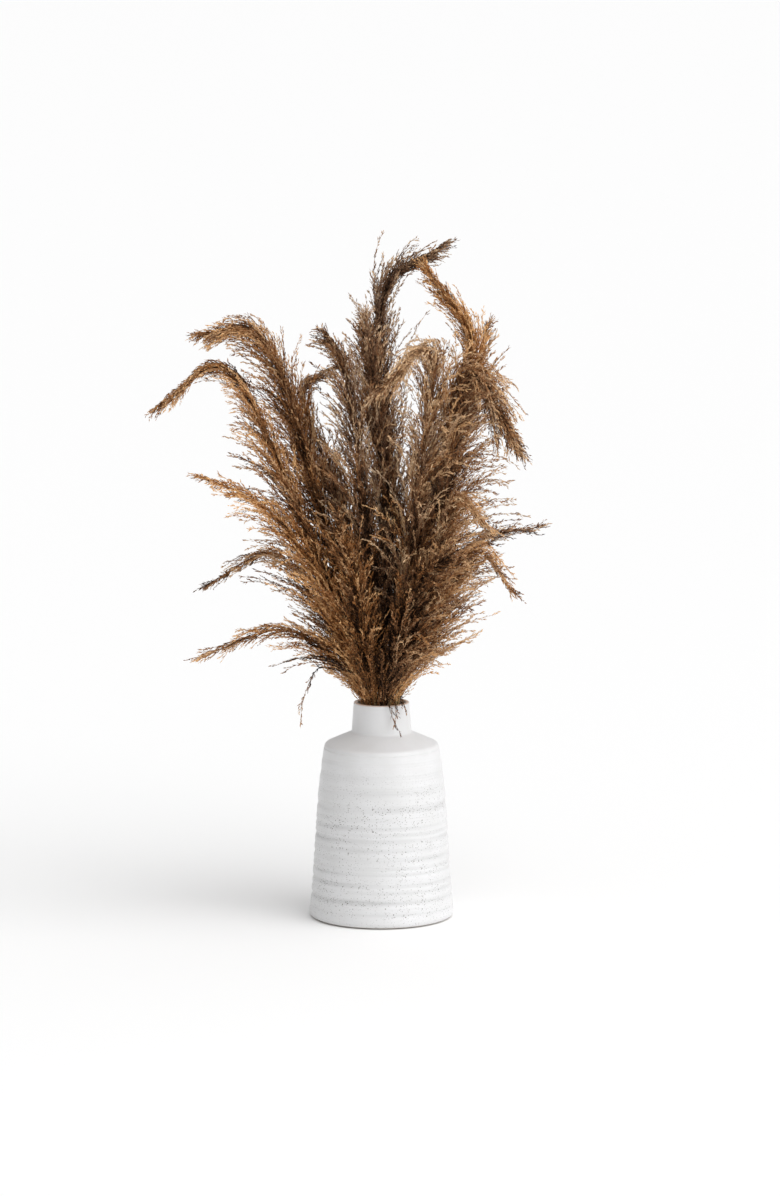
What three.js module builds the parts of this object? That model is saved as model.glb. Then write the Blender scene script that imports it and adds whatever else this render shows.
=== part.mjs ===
// Wheel-thrown stoneware vase holding a tied bunch of dried reed plumes.
// Millimetres, +Z up, +X right, -Y front. The origin is the centre of the felt pad's underside,
// on the axis that the vase was thrown about, so the table is the plane Z = 0.
//
// The vase group is the fired body and the felt pad under it. The bunch group is everything that
// lifts out of the neck together: the reed stems, the plume on top of each, and the twine round them.
import * as THREE from "three";

// ---------------------------------------------------------------- vase sizes
const vaseHeight = 293; // table to rim
const neckLength = 40.5; // rim down to the shoulder
const shoulderRise = 16.5; // the shoulder climbs this much from its edge to the neck
const baseRadius = 97.5; // wall radius carried down to the table
const shoulderRadius = 77; // wall radius at the shoulder's edge
const neckTopRadius = 37.5;
const neckTaper = 2.5; // the neck is this much wider at its foot
const footTurnIn = 7.5; // the flat foot ring's edge lies this far inside the wall
const footTurn = 8; // height of the rounded turn between foot and wall
const baseFlare = 1.2; // extra radius at the very bottom of the wall
const flareFade = 15; // height over which that flare dies away
const wallBelly = 2.8; // how far the wall swells outside a straight line
const edgeRadius = 4; // rounding of the shoulder's edge
const neckFillet = 3;
const rimRadius = 2.4; // rounding on each edge of the rim
const wallThickness = 6;
const neckThickness = 5.5;
const floorThickness = 9;
const insideCorner = 12; // radius between floor and wall inside

// throwing rings: shallow finger grooves, closer together lower down
const smoothBand = 36; // no rings this far below the shoulder's edge
const firstPitch = 22;
const pitchLoss = 1; // each pitch is this much shorter than the one above
const leastPitch = 10;
const ringDepth = 0.6;

const padRadius = 60;
const padProud = 1; // the felt pad holds the clay this far off the table
const padRecessDepth = 2.4; // the pad sits in a recess turned in the foot
const padRoom = 2; // gap round the pad's edge
const touchGap = 0.3; // faces that touch keep this much apart

const roundSegments = 40;
const bendSegments = 4; // straight pieces in each rounded corner

// --------------------------------------------------------------- bunch sizes
const stemRadius = 2.2;
const stemSides = 6;
const stemSteps = 12;
const stemGap = 0.45; // between neighbouring stems where the twine holds them
const neckRoom = 7.5; // left open between the outer stems and the neck's bore
const innerSpread = 0.42; // radius of the inner ring of stems at the rim, as a share of the outer's
const footSplay = 1.75; // the stems stand this much wider on the floor than at the twine
const tieHeight = 150; // where the twine is wound round the stems
const tieWidth = 14;
const twineThickness = 2.6;
const tieClear = 1.1;

const plumeSides = 8;
const plumeStations = 10;
const plumeSocket = 1.2; // a plume starts this much thicker than its stem
const plumeClear = 1.2; // room kept between neighbouring plumes
const plumeRise = 8; // plumes start at least this far above the rim
const rimClear = 3; // and keep this much off it where they lean over

// Each reed: three places on its line, as [x, y, height above the rim]: where its stem leans to,
// the top of its arch and its drooping tip. Then the length of its plume, and the plume's
// radius where nothing crowds it.
const reeds = [
  { name: "centre_right", ring: "centre", bend: [8, 2, 272], crest: [-16, 6, 452], tip: [-20, 30, 513], head: 380, full: 24 },
  { name: "back_tall", ring: "inner", bend: [8, 58, 267], crest: [6, 68, 545], tip: [78, 60, 608], head: 370, full: 24 },
  { name: "centre_left", ring: "inner", bend: [-26, -26, 287], crest: [-52, -30, 462], tip: [-74, -40, 500], head: 400, full: 24 },
  { name: "right_tall", ring: "inner", bend: [62, -6, 267], crest: [118, -2, 485], tip: [62, 14, 578], head: 360, full: 24 },
  { name: "right_back_tall", ring: "inner", bend: [70, 66, 267], crest: [122, 80, 412], tip: [140, 72, 492], head: 330, full: 20 },
  { name: "left_tall", ring: "inner", bend: [-84, 12, 267], crest: [-168, 16, 492], tip: [-238, 8, 497], head: 420, full: 26 },
  { name: "left_arch", ring: "inner", bend: [-56, 62, 267], crest: [-104, 72, 413], tip: [-58, 84, 449], head: 330, full: 22 },
  { name: "left_far", ring: "outer", bend: [-106, -38, 252], crest: [-212, -54, 458], tip: [-294, -60, 407], head: 440, full: 26 },
  { name: "right_khaki", ring: "outer", bend: [46, -58, 267], crest: [60, -78, 478], tip: [-4, -100, 432], head: 400, full: 26 },
  { name: "right_arch", ring: "outer", bend: [80, -50, 252], crest: [116, -64, 446], tip: [180, -76, 352], head: 400, full: 26 },
  { name: "right_middle", ring: "outer", bend: [62, -88, 157], crest: [100, -114, 290], tip: [136, -128, 258], head: 330, full: 25 },
  { name: "right_low", ring: "outer", bend: [68, -22, 107], crest: [128, -26, 207], tip: [170, -36, 160], head: 300, full: 24 },
  { name: "right_back_low", ring: "outer", bend: [68, 58, 127], crest: [134, 80, 207], tip: [208, 92, 223], head: 300, full: 21 },
  { name: "left_orange", ring: "outer", bend: [-72, -60, 157], crest: [-152, -80, 272], tip: [-234, -90, 316], head: 340, full: 24 },
  { name: "left_back_low", ring: "outer", bend: [-74, 40, 107], crest: [-146, 62, 191], tip: [-236, 78, 147], head: 320, full: 22 },
  { name: "left_low", ring: "outer", bend: [-58, -24, 59], crest: [-130, -36, 103], tip: [-240, -46, 69], head: 290, full: 18 },
  { name: "front_left", ring: "outer", bend: [-24, -68, 97], crest: [-42, -116, 207], tip: [-54, -146, 259], head: 280, full: 23 },
  { name: "front_right", ring: "outer", bend: [24, -70, 92], crest: [54, -128, 187], tip: [86, -166, 217], head: 280, full: 23 },
  { name: "back_left", ring: "outer", bend: [-28, 72, 127], crest: [-70, 130, 277], tip: [-112, 172, 317], head: 360, full: 26 },
  { name: "back_right", ring: "outer", bend: [26, 76, 127], crest: [58, 140, 247], tip: [92, 184, 237], head: 340, full: 26 },
];

// ------------------------------------------------------------------ finishes
function finish(color, roughness) {
  return new THREE.MeshStandardMaterial({ color, roughness, metalness: 0 });
}
const glazedStoneware = finish(0xe9e9e8, 0.5);
const greyFelt = finish(0x8a8781, 0.95);
const driedStem = finish(0xa88c5c, 0.8);
const driedPlume = finish(0x7d6145, 0.95);
const juteTwine = finish(0xa5824f, 0.9);

function named(name, geometry, material) {
  const mesh = new THREE.Mesh(geometry, material);
  mesh.name = name;
  return mesh;
}

// A profile of (radius, height) points turned about the Z axis.
function turned(points, segments) {
  return new THREE.LatheGeometry(points, segments).rotateX(Math.PI / 2);
}

// ---------------------------------------------------------------------- vase
const floorTop = padProud + floorThickness;
const bore = neckTopRadius - neckThickness;
const neckFootRadius = neckTopRadius + neckTaper;
const neckFootHeight = vaseHeight - neckLength;
const shoulderHeight = neckFootHeight - shoulderRise;
const footRadius = baseRadius - footTurnIn;
const turnTop = padProud + footTurn;

// Outside radius of the wall: a straight taper, a swell that is fullest near the shoulder,
// and a flare at the bottom.
function wallRadius(z) {
  const up = z / shoulderHeight;
  const taper = baseRadius + (shoulderRadius - baseRadius) * up;
  return taper + wallBelly * Math.sin(Math.PI * up * up) + baseFlare * Math.exp(-z / flareFade);
}

// Heights of the grooves, from the lowest up.
function grooveHeights() {
  const heights = [];
  let pitch = firstPitch;
  for (let z = shoulderHeight - smoothBand; z > turnTop + ringDepth; z -= pitch) {
    heights.unshift(z);
    pitch = Math.max(pitch - pitchLoss, leastPitch);
  }
  return heights;
}

function vaseProfile() {
  const path = new THREE.Path();
  // under the foot, round the pad's recess
  path.moveTo(0, padProud + padRecessDepth);
  path.lineTo(padRadius + padRoom, padProud + padRecessDepth);
  path.lineTo(padRadius + padRoom, padProud);
  path.lineTo(footRadius, padProud);
  path.quadraticCurveTo(wallRadius(turnTop), padProud, wallRadius(turnTop), turnTop);
  // up the ringed wall, a groove and then a ridge at a time
  const grooves = grooveHeights();
  grooves.forEach((groove, i) => {
    const next = grooves[i + 1] ?? groove + firstPitch;
    const ridge = (groove + next) / 2;
    path.lineTo(wallRadius(groove) - ringDepth, groove);
    path.lineTo(wallRadius(ridge), ridge);
  });
  // round the edge, over the shoulder and up the neck
  const inwards = shoulderRadius - neckFootRadius;
  const slope = Math.atan2(shoulderRise, inwards);
  const shoulderLength = Math.hypot(shoulderRise, inwards);
  const onShoulder = (distance) => [
    shoulderRadius - distance * Math.cos(slope),
    shoulderHeight + distance * Math.sin(slope),
  ];
  path.lineTo(wallRadius(shoulderHeight - edgeRadius), shoulderHeight - edgeRadius);
  path.quadraticCurveTo(shoulderRadius, shoulderHeight, ...onShoulder(edgeRadius));
  path.lineTo(...onShoulder(shoulderLength - neckFillet));
  path.quadraticCurveTo(neckFootRadius, neckFootHeight, neckFootRadius, neckFootHeight + neckFillet);
  path.lineTo(neckTopRadius, vaseHeight - rimRadius);
  path.quadraticCurveTo(neckTopRadius, vaseHeight, neckTopRadius - rimRadius, vaseHeight);
  // over the rim and down inside the neck
  const drop = wallThickness / Math.cos(slope);
  const neckCorner = neckFootHeight - drop;
  path.lineTo(bore + rimRadius, vaseHeight);
  path.quadraticCurveTo(bore, vaseHeight, bore, vaseHeight - rimRadius);
  path.lineTo(bore, neckCorner + neckFillet);
  path.quadraticCurveTo(bore, neckCorner, bore + neckFillet, neckCorner - neckFillet * Math.tan(slope));
  // under the shoulder and down the inside of the wall
  const insideWall = (z) => wallRadius(z) - wallThickness;
  const cornerHeight = shoulderHeight - drop;
  const cornerRadius = insideWall(cornerHeight);
  path.lineTo(cornerRadius - edgeRadius, cornerHeight + edgeRadius * Math.tan(slope));
  path.quadraticCurveTo(cornerRadius, cornerHeight, cornerRadius, cornerHeight - edgeRadius);
  const wallFoot = floorTop + insideCorner;
  const wallMiddle = (cornerHeight + wallFoot) / 2;
  path.lineTo(insideWall(wallMiddle), wallMiddle);
  path.lineTo(insideWall(wallFoot), wallFoot);
  path.quadraticCurveTo(insideWall(wallFoot), floorTop, insideWall(wallFoot) - insideCorner, floorTop);
  path.lineTo(0, floorTop);
  return path.getPoints(bendSegments);
}

function feltPad() {
  const thickness = padProud + padRecessDepth - touchGap;
  const geometry = new THREE.CylinderGeometry(padRadius, padRadius, thickness, roundSegments);
  return geometry.rotateX(Math.PI / 2).translate(0, 0, thickness / 2);
}

// --------------------------------------------------------------------- bunch
const ringOf = (ring) => reeds.filter((reed) => reed.ring === ring);
const heading = (reed) => Math.atan2(reed.bend[1], reed.bend[0]);

// Radius of each ring of stems where the twine holds them, as tight as the stems pack.
const stemPitch = 2 * stemRadius + stemGap;
const packed = (count) => stemPitch / (2 * Math.sin(Math.PI / count));
const innerTied = Math.max(stemPitch, packed(ringOf("inner").length));
const outerTied = Math.max(innerTied + stemPitch, packed(ringOf("outer").length));
const outerAtRim = bore - neckRoom - stemRadius;
const rings = {
  centre: { tied: 0, atRim: 0 },
  inner: { tied: innerTied, atRim: outerAtRim * innerSpread },
  outer: { tied: outerTied, atRim: outerAtRim },
};

// The stems of a ring share it out evenly, in the order that they lean, so that none cross. The
// ring is turned to bring its places as near as possible to the ways that its reeds lean.
function placesOn(ring) {
  const members = ringOf(ring).sort((a, b) => heading(a) - heading(b));
  const step = (2 * Math.PI) / members.length;
  let east = 0;
  let north = 0;
  members.forEach((reed, i) => {
    east += Math.cos(heading(reed) - i * step);
    north += Math.sin(heading(reed) - i * step);
  });
  const turn = Math.atan2(north, east);
  return members.map((reed, i) => [reed.name, turn + i * step]);
}
const placeAngles = new Map(Object.keys(rings).flatMap(placesOn));

// The line that a reed grows along, from its cut end on the vase's floor to the plume's tip.
function reedLine(reed) {
  const { tied, atRim } = rings[reed.ring];
  const angle = placeAngles.get(reed.name);
  const onRing = (radius, z) => new THREE.Vector3(radius * Math.cos(angle), radius * Math.sin(angle), z);
  const aboveRim = ([x, y, z]) => new THREE.Vector3(x, y, vaseHeight + z);
  return new THREE.CatmullRomCurve3([
    onRing(tied * footSplay, floorTop + touchGap),
    onRing(tied, tieHeight),
    onRing((tied + atRim) / 2, (tieHeight + vaseHeight) / 2),
    onRing(atRim, vaseHeight),
    aboveRim(reed.bend),
    aboveRim(reed.crest),
    aboveRim(reed.tip),
  ]);
}

// Part of a longer curve, measured by length, so that a piece can be swept or bent along it.
class Stretch extends THREE.Curve {
  constructor(whole, from, to) {
    super();
    Object.assign(this, { whole, from, to });
  }
  getPoint(t, target = new THREE.Vector3()) {
    return this.whole.getPointAt(this.from + (this.to - this.from) * t, target);
  }
}

// A plume starts its own length back from the tip, or just above the rim.
function grow(reed) {
  const line = reedLine(reed);
  const finely = 600;
  line.arcLengthDivisions = finely;
  const length = line.getLength();
  let clear = 0;
  while (line.getPointAt(clear).z < vaseHeight + plumeRise) clear += 1 / finely;
  const from = Math.max(1 - reed.head / length, clear);
  const stem = new Stretch(line, 0, from - touchGap / length);
  const plume = new Stretch(line, from, 1);
  return { reed, stem, plume, stemPoints: stem.getSpacedPoints(80), plumePoints: plume.getSpacedPoints(60) };
}
const grown = reeds.map(grow);

const nearest = (point, points) => Math.min(...points.map((other) => other.distanceTo(point)));

// The plume's radius at a point of its line: slim at the stem, fullest low down and tapering to
// the tip, and everywhere less than its share of the room between the reeds and over the rim.
function plumeRadius(one, share) {
  const swell = Math.pow(Math.sin(Math.PI * Math.pow(share, 0.6)), 0.8);
  const least = stemRadius + plumeSocket;
  const wanted = least + (one.reed.full - least) * swell;
  const here = one.plume.getPoint(share);
  const others = grown.filter((other) => other !== one);
  const toPlumes = Math.min(...others.map((other) => nearest(here, other.plumePoints)));
  const toStems = Math.min(...others.map((other) => nearest(here, other.stemPoints)));
  const toRim = Math.hypot(Math.hypot(here.x, here.y) - neckTopRadius, here.z - vaseHeight);
  const room = Math.min(toPlumes / 2, toStems - stemRadius, toRim - rimClear);
  return Math.min(wanted, room - plumeClear);
}

// A turned spindle bent along the plume's line.
function plumeSolid(one) {
  const profile = [new THREE.Vector2(0, 0)];
  for (let i = 0; i < plumeStations; i++) {
    profile.push(new THREE.Vector2(plumeRadius(one, i / plumeStations), i / plumeStations));
  }
  profile.push(new THREE.Vector2(0, 1));
  const geometry = new THREE.LatheGeometry(profile, plumeSides);
  const frames = one.plume.computeFrenetFrames(plumeStations);
  const position = geometry.getAttribute("position");
  const point = new THREE.Vector3();
  for (let i = 0; i < position.count; i++) {
    const share = position.getY(i);
    const station = Math.round(share * plumeStations);
    one.plume.getPoint(share, point);
    point.addScaledVector(frames.normals[station], position.getX(i));
    point.addScaledVector(frames.binormals[station], -position.getZ(i));
    position.setXYZ(i, point.x, point.y, point.z);
  }
  return geometry;
}

function stemSolid(one) {
  const corners = [];
  for (let i = 0; i < stemSides; i++) {
    const angle = (2 * Math.PI * i) / stemSides;
    corners.push(new THREE.Vector2(stemRadius * Math.cos(angle), stemRadius * Math.sin(angle)));
  }
  return new THREE.ExtrudeGeometry(new THREE.Shape(corners), {
    steps: stemSteps,
    extrudePath: one.stem,
    bevelEnabled: false,
  });
}

function twineTie() {
  const inside = outerTied + stemRadius + tieClear;
  const outside = inside + twineThickness;
  const low = tieHeight - tieWidth / 2;
  const high = tieHeight + tieWidth / 2;
  const corners = [
    [inside, low],
    [outside, low],
    [outside, high],
    [inside, high],
    [inside, low],
  ];
  return turned(corners.map(([radius, z]) => new THREE.Vector2(radius, z)), 24);
}

// ------------------------------------------------------------------ assembly
const vase = new THREE.Group();
vase.add(named("vase_body", turned(vaseProfile(), roundSegments), glazedStoneware));
vase.add(named("felt_base_pad", feltPad(), greyFelt));

const bunch = new THREE.Group();
bunch.add(named("twine_tie", twineTie(), juteTwine));
for (const one of grown) {
  bunch.add(named(`stem_${one.reed.name}`, stemSolid(one), driedStem));
  bunch.add(named(`plume_${one.reed.name}`, plumeSolid(one), driedPlume));
}

const object = new THREE.Group();
object.add(vase, bunch);
export default object;
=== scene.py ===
# Wheel-thrown white stoneware vase holding a tied bunch of dried reed plumes.
import math

import bpy
import numpy as np
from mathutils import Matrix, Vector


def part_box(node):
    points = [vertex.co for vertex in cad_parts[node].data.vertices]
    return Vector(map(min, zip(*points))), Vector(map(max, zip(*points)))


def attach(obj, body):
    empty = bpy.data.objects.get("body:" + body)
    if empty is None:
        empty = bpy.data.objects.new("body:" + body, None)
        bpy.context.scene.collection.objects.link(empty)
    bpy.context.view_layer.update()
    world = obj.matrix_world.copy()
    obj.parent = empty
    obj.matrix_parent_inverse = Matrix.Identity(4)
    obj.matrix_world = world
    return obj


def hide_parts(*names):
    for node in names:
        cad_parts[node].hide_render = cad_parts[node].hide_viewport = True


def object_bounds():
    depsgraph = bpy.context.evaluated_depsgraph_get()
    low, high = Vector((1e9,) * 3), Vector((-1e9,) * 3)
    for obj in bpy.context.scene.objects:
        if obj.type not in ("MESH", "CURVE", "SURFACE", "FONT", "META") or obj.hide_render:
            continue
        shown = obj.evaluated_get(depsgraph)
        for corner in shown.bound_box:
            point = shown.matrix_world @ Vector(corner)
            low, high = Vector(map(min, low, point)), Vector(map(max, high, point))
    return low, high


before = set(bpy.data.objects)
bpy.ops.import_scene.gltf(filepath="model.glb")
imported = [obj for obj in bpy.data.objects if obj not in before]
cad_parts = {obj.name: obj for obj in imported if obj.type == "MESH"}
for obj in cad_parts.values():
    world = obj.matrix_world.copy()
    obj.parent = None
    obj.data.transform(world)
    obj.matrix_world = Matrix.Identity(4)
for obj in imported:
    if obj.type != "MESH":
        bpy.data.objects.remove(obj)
cad_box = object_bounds()

# ---------------------------------------------------------------------------
# Camera. A long lens far back and a little above the table, square to the front, so that the
# upright lines of the vase stay nearly parallel.
MM = 0.001
aim = (11.4 * MM, 0.0, 433.7 * MM)
camera_distance = 6.5
camera_rise = math.radians(8.7)
seen_height = 1602.64 * MM
camera_data = bpy.data.cameras.new("camera")
camera_data.sensor_fit = "VERTICAL"
camera_data.sensor_height = 36.0
camera_data.lens = camera_data.sensor_height * camera_distance / seen_height
camera_data.clip_end = 200.0
camera = bpy.data.objects.new("camera", camera_data)
camera.location = (
    aim[0],
    aim[1] - camera_distance * math.cos(camera_rise),
    aim[2] + camera_distance * math.sin(camera_rise),
)
camera.rotation_euler = (math.pi / 2 - camera_rise, 0.0, 0.0)
bpy.context.scene.collection.objects.link(camera)
bpy.context.scene.camera = camera


# ---------------------------------------------------------------------------
# Floor and light. A pale seamless floor, a broad light from the upper right and a soft sky, so
# the vase turns gently from grey on its left to white on its right.
def linear(colour):
    """Linear red, green and blue from an sRGB hex value."""
    parts = [int(colour[i : i + 2], 16) / 255 for i in (1, 3, 5)]
    return [p / 12.92 if p <= 0.04045 else ((p + 0.055) / 1.055) ** 2.4 for p in parts]


def add(material, kind, inputs=None, stops=None, **settings):
    """A new node with its settings. An input given a node or a socket is linked to it, and any
    other input is set. stops are the (place, sRGB hex) pairs of a colour ramp."""
    made = material.node_tree.nodes.new("ShaderNode" + kind)
    for name, value in settings.items():
        setattr(made, name, value)
    for name, value in (inputs or {}).items():
        if isinstance(value, bpy.types.Node):
            value = value.outputs[0]
        if isinstance(value, bpy.types.NodeSocket):
            material.node_tree.links.new(value, made.inputs[name])
        elif isinstance(value, str):
            made.inputs[name].default_value = (*linear(value), 1)
        else:
            made.inputs[name].default_value = value
    for number, (place, colour) in enumerate(stops or ()):
        ramp = made.color_ramp.elements
        stop = ramp[number] if number < 2 else ramp.new(place)
        stop.position = place
        stop.color = (*linear(colour), 1)
    return made


def new_material(name):
    """An empty node material."""
    material = bpy.data.materials.new(name)
    material.use_nodes = True
    material.node_tree.nodes.clear()
    return material


def finish_material(material, shader):
    """Links the shader to the material's surface."""
    add(material, "OutputMaterial", {"Surface": shader})


def mesh_piece(name, points, faces, material, smooth=True, attributes=None):
    """A mesh object at the origin from an array of points and arrays of same-sized faces.

    faces is a list of arrays, each holding the corner numbers of triangles or of quads.
    attributes maps a name to one number per point.
    """
    mesh = bpy.data.meshes.new(name)
    corners = np.concatenate([f.reshape(-1) for f in faces]).astype(np.int32)
    sizes = np.concatenate([np.full(len(f), f.shape[1]) for f in faces])
    starts = np.concatenate([[0], np.cumsum(sizes)[:-1]]).astype(np.int32)
    mesh.vertices.add(len(points))
    mesh.vertices.foreach_set("co", np.asarray(points, np.float32).reshape(-1))
    mesh.loops.add(len(corners))
    mesh.loops.foreach_set("vertex_index", corners)
    mesh.polygons.add(len(starts))
    mesh.polygons.foreach_set("loop_start", starts)
    mesh.polygons.foreach_set("use_smooth", np.full(len(starts), smooth))
    mesh.update(calc_edges=True)
    for label, values in (attributes or {}).items():
        attribute = mesh.attributes.new(label, "FLOAT", "POINT")
        attribute.data.foreach_set("value", np.asarray(values, np.float32))
    mesh.materials.append(material)
    piece = bpy.data.objects.new(name, mesh)
    bpy.context.scene.collection.objects.link(piece)
    return piece


floor_paint = new_material("matt_white_studio_floor")
finish_material(
    floor_paint, add(floor_paint, "BsdfPrincipled", {"Base Color": "#F8F8F8", "Roughness": 0.95})
)
floor_edges = (-80.0, 80.0)
floor_points = np.array([[x, y, 0] for x in floor_edges for y in floor_edges])
floor = mesh_piece("studio_floor", floor_points, [np.array([[0, 2, 3, 1]])], floor_paint)

sky = bpy.data.worlds.new("soft_sky")
sky.use_nodes = True
sky_direction = add(sky, "TexCoord").outputs["Generated"]
sky_across = add(sky, "SeparateXYZ", {"Vector": sky_direction})
sky_strength = add(
    sky,
    "MapRange",
    {
        "Value": sky_across.outputs["X"],
        "From Min": -1.0,
        "From Max": 1.0,
        "To Min": 0.42,
        "To Max": 0.95,
    },
)
backdrop = sky.node_tree.nodes["Background"]
sky.node_tree.links.new(sky_strength.outputs[0], backdrop.inputs["Strength"])
backdrop.inputs["Color"].default_value = (1.0, 1.0, 1.0, 1.0)
bpy.context.scene.world = sky

key_data = bpy.data.lights.new("broad_key_light", "SUN")
key_data.energy = 1.5
key_data.angle = math.radians(60)
key = bpy.data.objects.new("broad_key_light", key_data)
key.rotation_euler = (math.radians(38), 0.0, math.radians(45))
bpy.context.scene.collection.objects.link(key)

softbox_data = bpy.data.lights.new("softbox", "AREA")
softbox_data.shape = "RECTANGLE"
softbox_data.size = 0.9
softbox_data.size_y = 1.5
softbox_data.energy = 7.0
softbox = bpy.data.objects.new("softbox", softbox_data)
softbox_turn = math.radians(50)
softbox_away = 2.5
softbox.location = (
    softbox_away * math.sin(softbox_turn),
    -softbox_away * math.cos(softbox_turn),
    0.8,
)
softbox.rotation_euler = (math.radians(80), 0.0, softbox_turn)
softbox.visible_camera = False
bpy.context.scene.collection.objects.link(softbox)
bpy.context.scene.view_settings.view_transform = "Standard"

# ---------------------------------------------------------------------------
# Vase body. Grey stoneware clay thrown on a wheel in one piece, dipped in a matt white glaze and
# fired once more. The potter's fingers left rings round the wall, closer together lower down.
vase_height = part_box("vase_body")[1].z / MM
neck_length = 40.5
shoulder_rise = 16.5
base_radius = 97.5
shoulder_radius = 77.0
neck_radius = 37.5
neck_taper = 2.5
wall = 6.0
neck_wall = 5.5
pad_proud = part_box("vase_body")[0].z / MM
floor_top = 10.0
recess_radius = 62.0
recess_top = 3.4
foot_radius = 90.0
neck_foot = vase_height - neck_length
shoulder_height = neck_foot - shoulder_rise
turn_top = 9.0
bore = neck_radius - neck_wall


def wall_radius(z):
    """A straight taper, a swell that is fullest near the shoulder, and a flare at the bottom."""
    up = z / shoulder_height
    taper = base_radius + (shoulder_radius - base_radius) * up
    return taper + 2.8 * np.sin(np.pi * up * up) + 1.2 * np.exp(-z / 15)


def bend(start, corner, end, count):
    """Points on the curve that leaves start towards corner and arrives at end from it."""
    t = np.linspace(0, 1, count)[:, None]
    start, corner, end = (np.array(p, float) for p in (start, corner, end))
    return (1 - t) ** 2 * start + 2 * t * (1 - t) * corner + t**2 * end


def vase_profile():
    """(radius, height) down the middle of the floor's underside, up the outside and down inside."""
    slope = math.atan2(shoulder_rise, shoulder_radius - neck_radius - neck_taper)
    lean = np.array([-math.cos(slope), math.sin(slope)])
    neck_foot_radius = neck_radius + neck_taper
    edge = np.array([shoulder_radius, shoulder_height])
    edge_round = 5.0
    fillet = 3.5
    lip = 2.4
    row = 1.0
    drop = wall / math.cos(slope)
    under = [(0, recess_top), (20, recess_top), (45, recess_top)]
    under += [(recess_radius, recess_top), (recess_radius, recess_top - 0.5)]
    under += [(recess_radius, pad_proud + 0.5), (recess_radius + 0.5, pad_proud), (76, pad_proud)]
    heel_radius = wall_radius(turn_top)
    turn = bend((foot_radius, pad_proud), (heel_radius, pad_proud), (heel_radius, turn_top), 12)
    heights = np.arange(turn_top + row, shoulder_height - edge_round, row)
    side = np.stack([wall_radius(heights), heights], axis=1)
    below = np.array([wall_radius(shoulder_height - edge_round), shoulder_height - edge_round])
    over = bend(below, edge, edge + lean * edge_round, 10)
    reach = math.hypot(shoulder_rise, shoulder_radius - neck_foot_radius)
    slant = edge + lean * np.linspace(edge_round + 1, reach - fillet - 1, 22)[:, None]
    corner = (neck_foot_radius, neck_foot)
    collar = bend(edge + lean * (reach - fillet), corner, (neck_foot_radius, neck_foot + fillet), 7)
    rise = np.linspace(neck_foot + fillet + 1, vase_height - lip - 1, 24)
    share = (rise - neck_foot - fillet) / (vase_height - lip - neck_foot - fillet)
    neck = np.stack([neck_foot_radius - neck_taper * share, rise], axis=1)
    top, lip_foot = vase_height, vase_height - lip
    lip_out = bend((neck_radius, lip_foot), (neck_radius, top), (neck_radius - lip, top), 6)
    lip_in = bend((bore + lip, top), (bore, top), (bore, lip_foot), 6)
    throat_foot = neck_foot - drop
    throat = [(bore, z) for z in np.linspace(top - lip - 3, throat_foot + 6, 8)]
    under_shoulder = bend(
        (bore, throat_foot + 4),
        (bore, throat_foot),
        (bore + 4, throat_foot - 4 * math.tan(slope)),
        5,
    )
    inner_top = shoulder_height - drop
    inner_edge = wall_radius(inner_top) - wall
    inside_edge = bend(
        (inner_edge - 6, inner_top + 6 * math.tan(slope)),
        (inner_edge, inner_top),
        (inner_edge, inner_top - 6),
        6,
    )
    falls = np.linspace(inner_top - 12, floor_top + 14, 22)
    inside = np.stack([wall_radius(falls) - wall, falls], axis=1)
    inner_foot = wall_radius(floor_top + 12) - wall
    heel = bend(
        (inner_foot, floor_top + 12), (inner_foot, floor_top), (inner_foot - 12, floor_top), 8
    )
    bottom = [(radius, floor_top) for radius in (60, 40, 20, 0)]
    outside = [under, turn, side, over, slant, collar, neck, lip_out]
    return np.vstack(
        outside + [lip_in, throat, under_shoulder, inside_edge, inside, heel, bottom]
    )


# height, half width and mean depth of each finger ring, from the top down
rings = [
    (231, 4, 0.3), (219, 4, 0.3), (200, 6, 0.6), (180, 6, 0.7), (157, 5, 1.2), (144, 3.4, 0.5),
    (133, 3.4, 1.0), (124, 2.8, 0.6), (115, 3.6, 1.4), (103, 3.4, 0.8), (90, 3.2, 0.9),
    (79, 2.8, 0.6), (71, 2.6, 0.9), (56, 3.4, 1.2), (46, 2.8, 0.7), (33, 3.4, 1.8), (17, 3.2, 0.6),
]
ring_heights, ring_widths, ring_depths = np.array(rings, float).T
full_groove = 1.6  # a dip this deep or deeper counts as a full groove in the glaze


def throwing_rings(z, angle):
    """How far the wall dips, in millimetres: a rounded dip for each finger ring and fine lines.

    The rings climb and fall a little round the vase, and each is deeper on some sides than on
    others, because the wheel and hand aren't true. The deepest place is about 3 mm.
    """
    height = z + 0.9 * np.sin(angle + 0.6) + 0.4 * np.sin(2 * angle + 2.1)
    away = (height[..., None] - ring_heights) / ring_widths
    depth = ring_depths * (1 + 0.45 * np.sin(2 * angle[..., None] + 1.7 * ring_heights))
    depth = depth * (1 + 0.25 * np.sin(5 * angle[..., None] + 0.9 * ring_heights))
    dips = np.sum(depth * np.exp(-(away**2)), axis=-1)
    fine = 0.12 * np.sin(height * 2 * np.pi / 5.3) * np.sin(height * 2 * np.pi / 17 + 1)
    fine += 0.06 * np.sin(height * 2 * np.pi / 3.3 + 2 * np.sin(angle))
    low = np.clip((238 - z) / 8, 0, 1) * np.clip((z - 9) / 5, 0, 1)
    return (dips + fine) * low


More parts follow.
